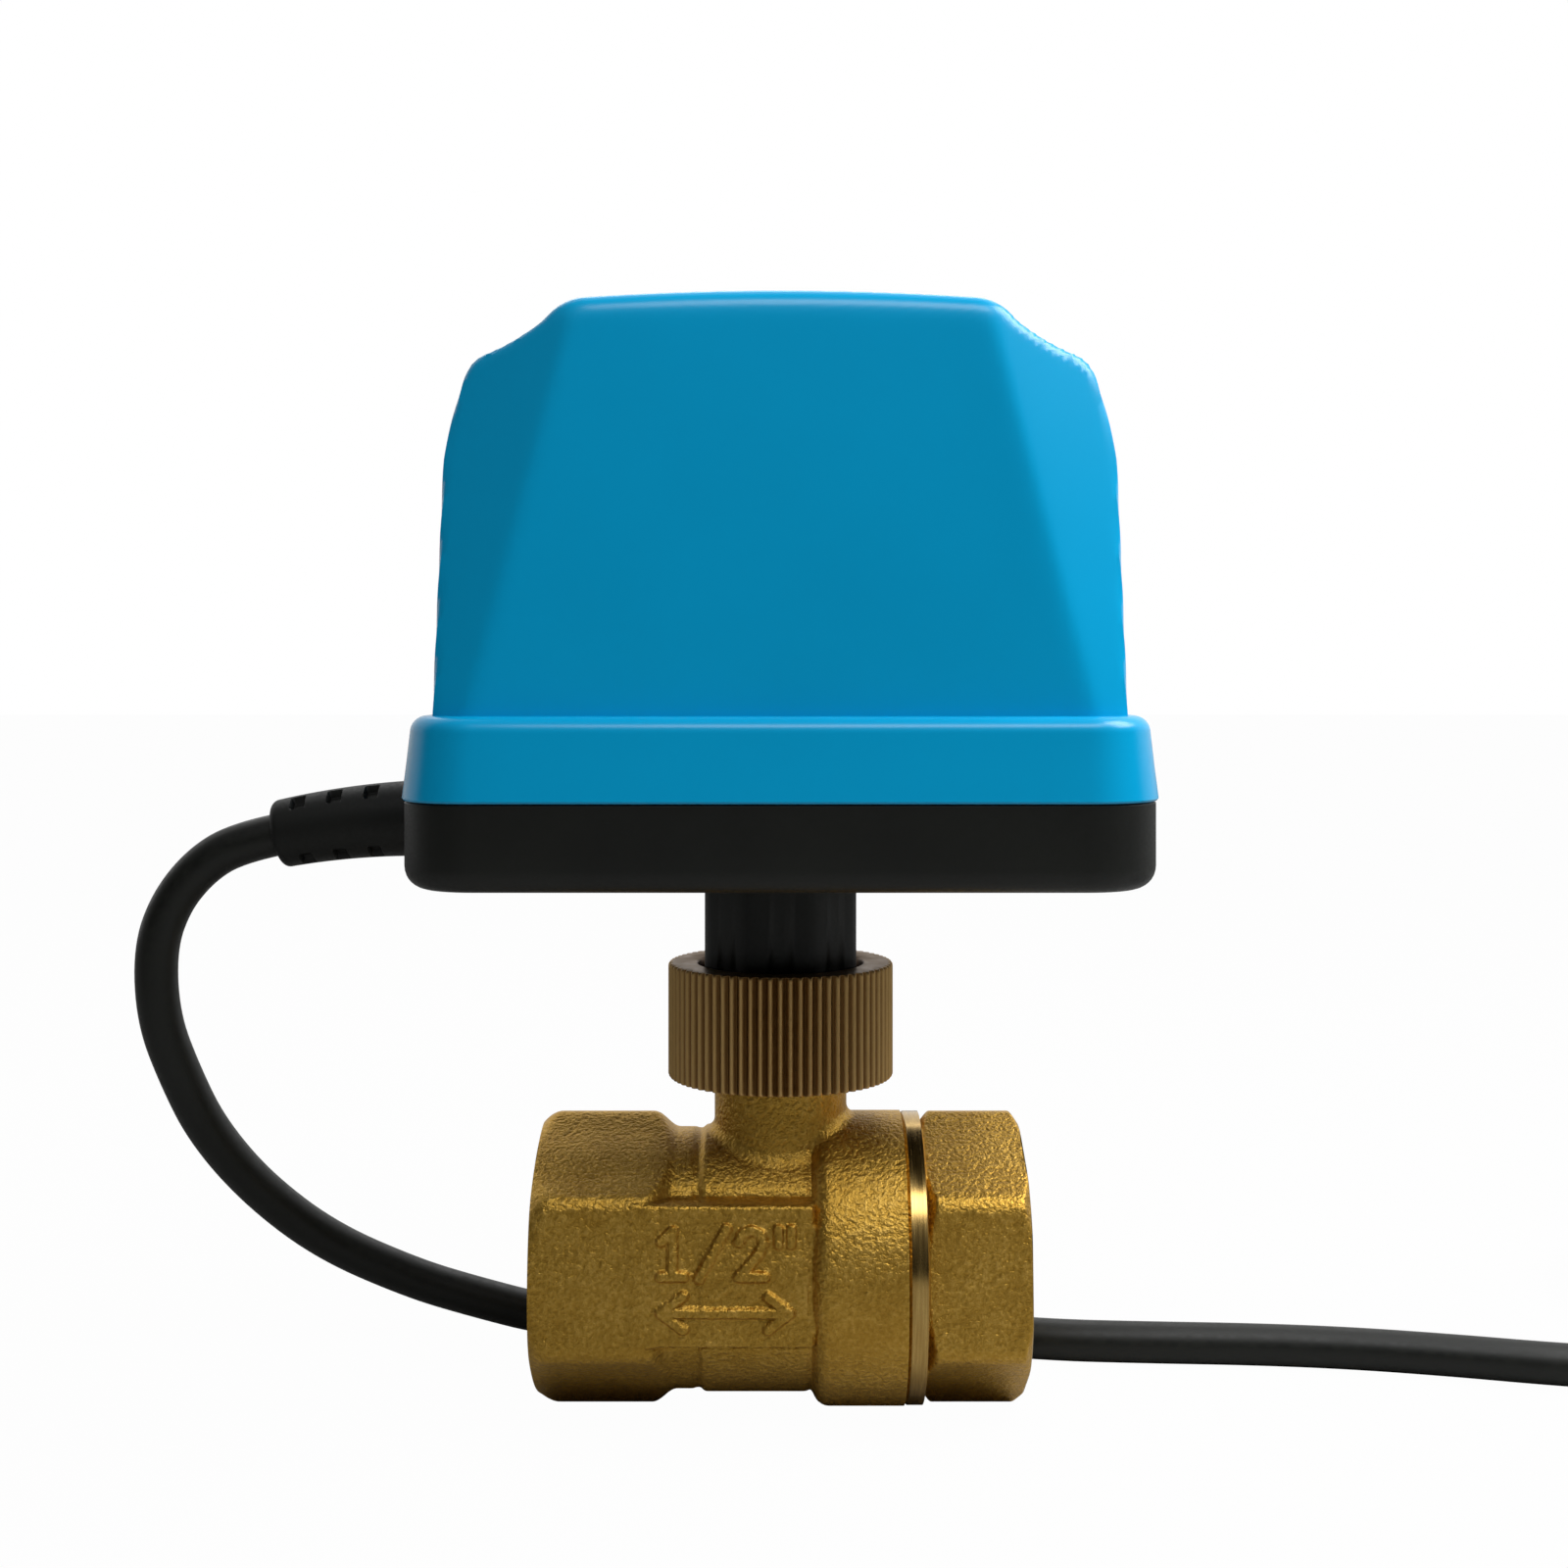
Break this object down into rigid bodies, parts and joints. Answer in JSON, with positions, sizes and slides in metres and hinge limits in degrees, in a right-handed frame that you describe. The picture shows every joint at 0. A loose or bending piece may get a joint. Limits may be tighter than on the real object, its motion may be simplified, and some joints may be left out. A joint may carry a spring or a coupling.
{
  "type": "motorized valve",
  "caption": "Motorized ball valve: a cast brass threaded body, a knurled union nut and an electric gear actuator in a black base with a blue cover, on a flexible lead.",
  "frame": {"origin": "centre of the inlet port's mouth, on the pipe axis", "axes": "+X along the pipe from inlet to outlet, +Z along the stem towards the cover, -Y out of the front face"},
  "size_m": [0.274, 0.1004, 0.1388],
  "materials": {
    "cast_brass": "sand cast, with turned ends and a fine grain",
    "nut_brass": "turned and straight knurled, darkened",
    "chromed_brass": "polished chrome plate on brass",
    "turned_brass": "turned",
    "white_ptfe": "turned PTFE, waxy",
    "black_rubber": "moulded nitrile rubber",
    "spring_steel": "blued spring steel",
    "black_abs": "moulded ABS, semi-gloss",
    "blue_abs": "moulded ABS, glossy",
    "zinc_steel": "zinc plated",
    "ground_steel": "ground",
    "white_acetal": "moulded acetal",
    "bronze_polymer": "moulded bearing polymer",
    "galvanised_sheet": "pressed galvanised sheet",
    "red_plastic": "moulded nylon",
    "grey_plastic": "moulded nylon",
    "black_phenolic": "moulded phenolic",
    "switch_film": "insulating film",
    "green_laminate": "glass fibre laminate with solder resist",
    "green_plastic": "moulded nylon",
    "relay_blue": "moulded polyester",
    "capacitor_can": "drawn can",
    "boot_rubber": "moulded soft PVC",
    "black_pvc": "extruded PVC, satin",
    "core_insulation": "extruded PVC",
    "tinned_copper": "tinned strands",
    "black_nylon": "moulded nylon"
  },
  "bodies": {
    "valve": {"valve_body": "cast_brass", "tail_piece": "cast_brass", "inlet_seat": "white_ptfe", "outlet_seat": "white_ptfe", "stem_washer": "white_ptfe", "cover_gasket": "black_rubber", "snap_ring": "spring_steel", "base_housing": "black_abs", "cover": "blue_abs", "cover_screws": "zinc_steel", "motor_screws": "zinc_steel", "switch_screws": "zinc_steel", "lower_posts": "zinc_steel", "upper_posts": "zinc_steel", "board_posts": "zinc_steel", "layshaft_axle": "ground_steel", "shaft_bush": "bronze_polymer", "gear_plate": "galvanised_sheet", "motor_plate": "galvanised_sheet", "motor": "galvanised_sheet", "open_switch": "black_phenolic", "closed_switch": "black_phenolic", "switch_sheet": "switch_film", "circuit_board": "green_laminate", "terminal_block": "green_plastic", "relay": "relay_blue", "capacitors": "capacitor_can", "strain_relief": "boot_rubber", "jacket_end": "black_pvc", "cable": "black_pvc", "cable_coil": "black_pvc", "inner_leads": "core_insulation", "lead_wires": "core_insulation", "lead_tips": "tinned_copper", "coil_tie": "black_nylon"},
    "drive": {"ball": "chromed_brass", "valve_stem": "turned_brass", "stem_o_rings": "black_rubber", "output_shaft": "white_acetal", "output_gear": "white_acetal", "open_cam": "red_plastic", "closed_cam": "grey_plastic"},
    "layshaft": {"layshaft_gear": "white_acetal"},
    "rotor": {"motor_pinion": "turned_brass", "motor_shaft": "ground_steel"},
    "open_switch_pin": {"open_plunger": "red_plastic"},
    "closed_switch_pin": {"closed_plunger": "grey_plastic"},
    "nut": {"union_nut": "nut_brass"}
  },
  "joints": [
    {"name": "valve_turn", "type": "hinge", "parent": "valve", "child": "drive", "pos_m": [0.031, 0, 0.0335], "axis": [0, 0, 1], "range_deg": [0, 90]},
    {"name": "layshaft_spin", "type": "hinge", "parent": "valve", "child": "layshaft", "pos_m": [0.05608, -0.00533, 0.066], "axis": [0, 0, 1], "range_deg": [-322.5, 0.5]},
    {"name": "motor_spin", "type": "hinge", "parent": "valve", "child": "rotor", "pos_m": [0.03981, -0.00097, 0.078], "axis": [0, 0, 1], "range_deg": [-1, 644]},
    {"name": "open_pin_slide", "type": "slide", "parent": "valve", "child": "open_switch_pin", "axis": [1, 0, 0], "range_m": [0, 0.00102]},
    {"name": "closed_pin_slide", "type": "slide", "parent": "valve", "child": "closed_switch_pin", "axis": [-1, 0, 0], "range_m": [0, 0.00102]},
    {"name": "union_nut_turn", "type": "hinge", "parent": "valve", "child": "nut", "pos_m": [0.031, 0, 0.03105], "axis": [0, 0, 1], "continuous": true}
  ],
  "couplings": [
    {"joint": "layshaft_spin", "follows": "valve_turn", "ratio": -3.5714},
    {"joint": "motor_spin", "follows": "valve_turn", "ratio": 7.1429},
    {"joint": "open_pin_slide", "follows": "valve_turn", "m_per_rad": 0.00063662},
    {"joint": "closed_pin_slide", "follows": "valve_turn", "m_per_rad": 0.00063662}
  ]
}
